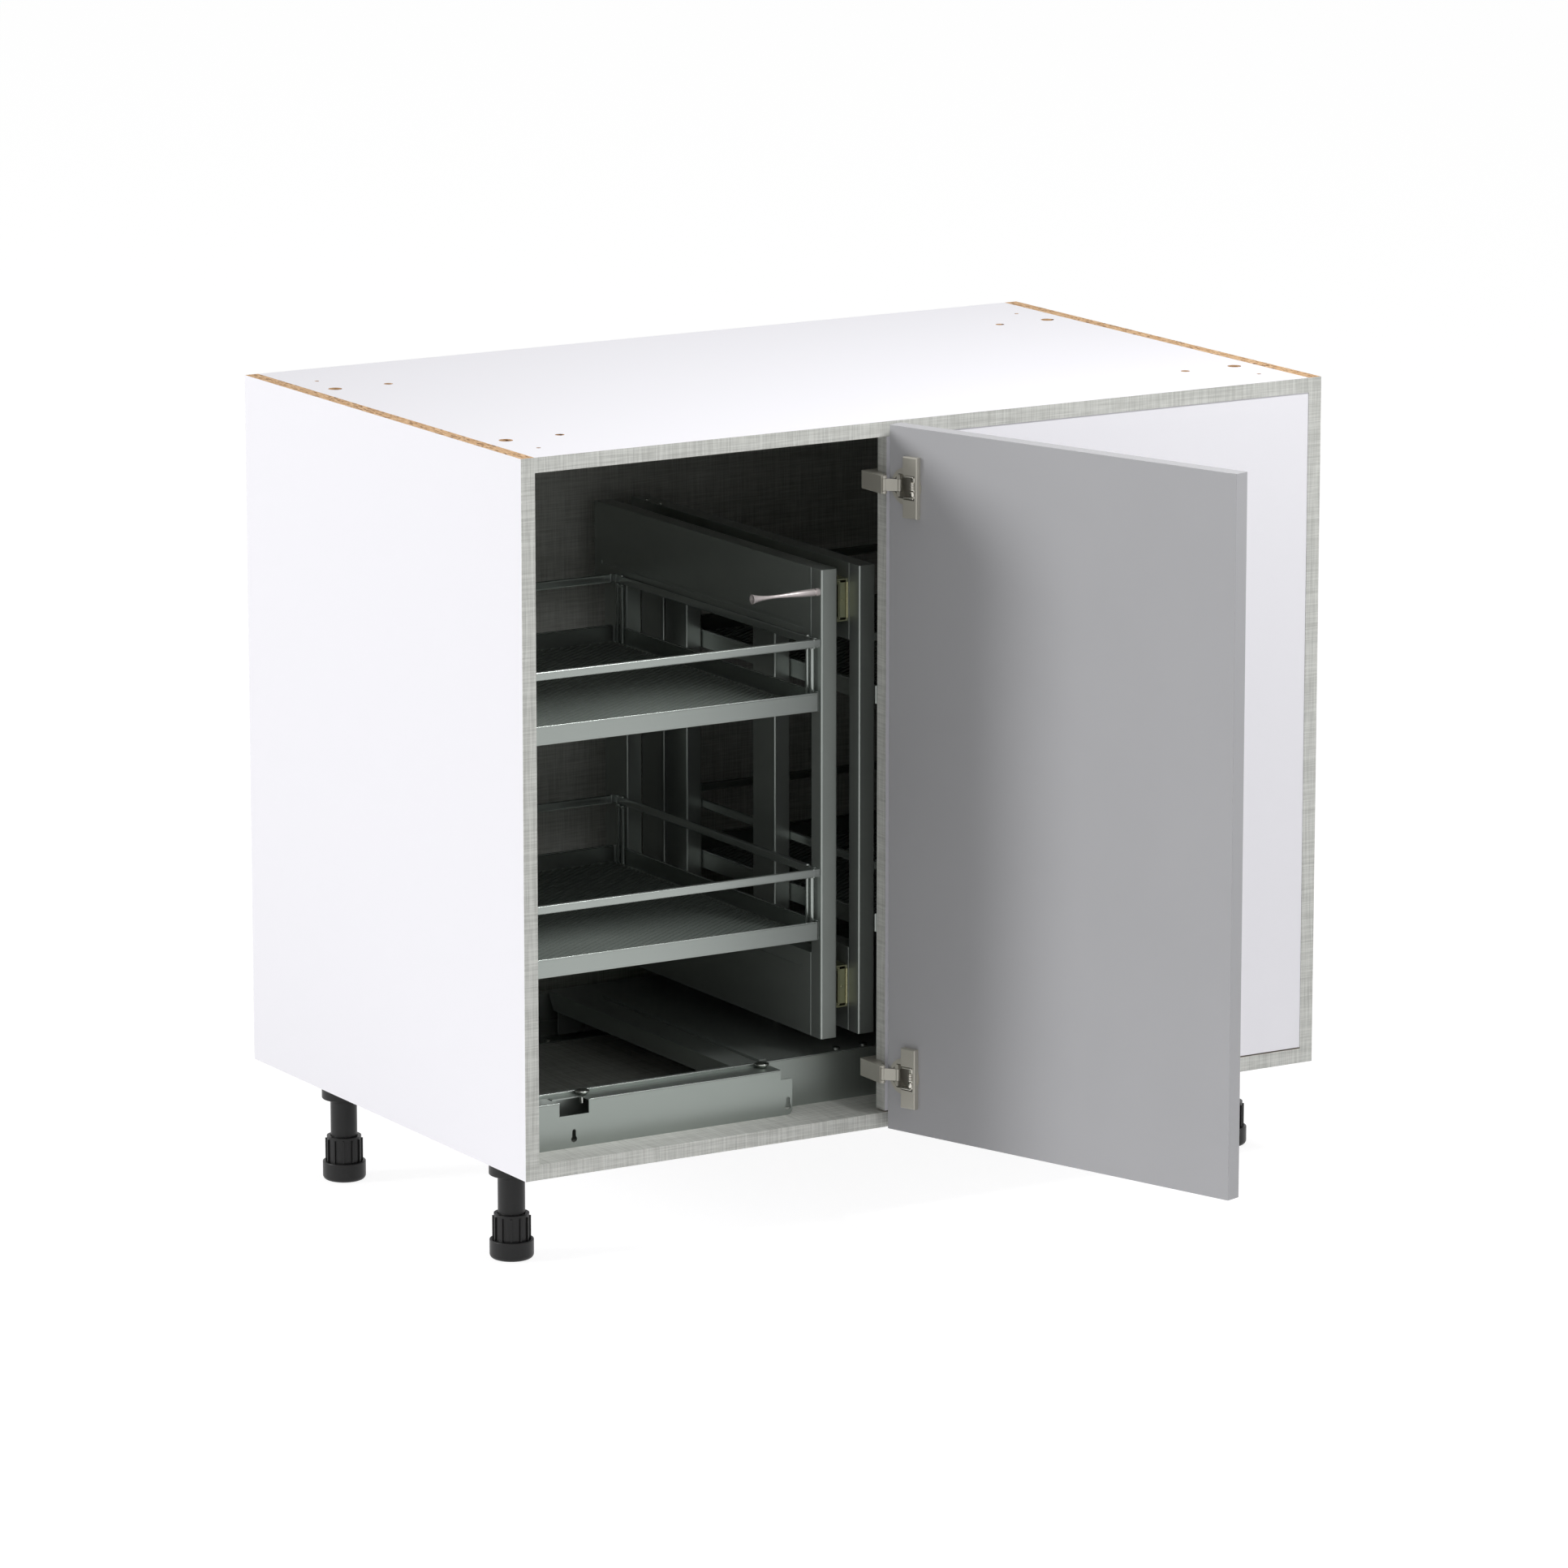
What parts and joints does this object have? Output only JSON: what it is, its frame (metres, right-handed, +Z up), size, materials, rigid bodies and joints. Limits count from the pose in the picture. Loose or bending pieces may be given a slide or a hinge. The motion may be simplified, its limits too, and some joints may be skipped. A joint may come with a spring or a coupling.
{
  "type": "blind corner base cabinet",
  "caption": "Blind corner base cabinet on levelling feet, with a hinged door beside a fixed blind panel and a corner pull-out of framed trays inside.",
  "frame": {"origin": "middle of the carcass footprint at floor level, in the plane of the undersides of the feet", "axes": "+X to the right as seen from the front, -Y towards the front, +Z up; the door is stored open"},
  "size_m": [0.9906, 1.0513, 0.874],
  "materials": {
    "melamine": "matt white melamine on chipboard",
    "edge_band": "matt white plastic edge band",
    "dowel_wood": "raw beech",
    "door_lacquer": "satin light grey lacquer on fibreboard",
    "hinge_nickel": "nickel plated",
    "leg_plastic": "black moulded plastic",
    "base_steel": "satin grey powder coat",
    "screw_steel": "zinc plated",
    "roller_plastic": "black plastic",
    "frame_paint": "satin grey powder coat",
    "runner_zinc": "yellow zinc plated",
    "tray_paint": "satin grey powder coat",
    "gallery_metal": "satin grey",
    "mat": "ribbed matt",
    "handle_metal": "satin"
  },
  "bodies": {
    "carcass": {"side_left": "melamine", "side_right": "melamine", "bottom_board": "melamine", "top_board": "melamine", "back_panel": "melamine", "blind_panel": "melamine", "edge_bands": "edge_band", "board_dowels": "dowel_wood", "hinge_arm_lower": "hinge_nickel", "hinge_arm_upper": "hinge_nickel", "hinge_plates": "hinge_nickel", "hinge_screws": "hinge_nickel", "hinge_arm_pins": "hinge_nickel", "leg_sockets": "leg_plastic", "leg_tubes": "leg_plastic", "base_rail_front": "base_steel", "base_rail_rear": "base_steel", "front_bracket": "base_steel", "carriage": "base_steel", "base_rail_screws": "screw_steel", "bracket_screws": "screw_steel", "carriage_screws": "screw_steel", "carriage_axles": "screw_steel", "carriage_rollers": "roller_plastic", "support_frame_band_low": "frame_paint", "support_frame_band_top": "frame_paint", "support_frame_post_front": "frame_paint", "support_frame_post_rear": "frame_paint", "support_uprights": "frame_paint", "support_feet": "frame_paint", "runners_outer": "runner_zinc", "rear_tray_lower": "tray_paint", "rear_tray_upper": "tray_paint", "rear_gallery_lower": "gallery_metal", "rear_gallery_upper": "gallery_metal", "rear_tray_mats": "mat"},
    "hinge_links": {"hinge_link_lower": "hinge_nickel", "hinge_link_upper": "hinge_nickel"},
    "door": {"door_panel": "door_lacquer", "hinge_cup_lower": "hinge_nickel", "hinge_cup_upper": "hinge_nickel", "hinge_cup_pins": "hinge_nickel"},
    "runner_middle": {"runners_middle": "runner_zinc"},
    "front_unit": {"front_frame_band_low": "frame_paint", "front_frame_band_top": "frame_paint", "front_frame_post_front": "frame_paint", "front_frame_post_rear": "frame_paint", "pull_handle": "handle_metal", "runners_inner": "runner_zinc", "front_tray_lower": "tray_paint", "front_tray_upper": "tray_paint", "front_gallery_lower": "gallery_metal", "front_gallery_upper": "gallery_metal", "front_tray_mats": "mat"},
    "foot_front_left": {"leg_foot_front_left": "leg_plastic"},
    "foot_front_right": {"leg_foot_front_right": "leg_plastic"},
    "foot_rear_left": {"leg_foot_rear_left": "leg_plastic"},
    "foot_rear_right": {"leg_foot_rear_right": "leg_plastic"}
  },
  "joints": [
    {"name": "link_swing", "type": "hinge", "parent": "carcass", "child": "hinge_links", "pos_m": [-0.0665, -0.3156, 0.1738], "axis": [0, 0, 1], "range_deg": [0, 67.5]},
    {"name": "door_swing", "type": "hinge", "parent": "hinge_links", "child": "door", "pos_m": [-0.05451, -0.32678, 0.1738], "axis": [0, 0, 1], "range_deg": [-176.1, 0]},
    {"name": "pull_out", "type": "slide", "parent": "carcass", "child": "front_unit", "axis": [0, -1, 0], "range_m": [0, 0.45]},
    {"name": "runner_slide", "type": "slide", "parent": "carcass", "child": "runner_middle", "axis": [0, -1, 0], "range_m": [0, 0.225]},
    {"name": "foot_front_left_height", "type": "slide", "parent": "carcass", "child": "foot_front_left", "axis": [0, 0, 1], "range_m": [-0.02, 0.01]},
    {"name": "foot_front_right_height", "type": "slide", "parent": "carcass", "child": "foot_front_right", "axis": [0, 0, 1], "range_m": [-0.02, 0.01]},
    {"name": "foot_rear_left_height", "type": "slide", "parent": "carcass", "child": "foot_rear_left", "axis": [0, 0, 1], "range_m": [-0.02, 0.01]},
    {"name": "foot_rear_right_height", "type": "slide", "parent": "carcass", "child": "foot_rear_right", "axis": [0, 0, 1], "range_m": [-0.02, 0.01]}
  ],
  "couplings": [
    {"joint": "link_swing", "follows": "door_swing", "ratio": -0.3833},
    {"joint": "runner_slide", "follows": "pull_out", "ratio": 0.5}
  ]
}
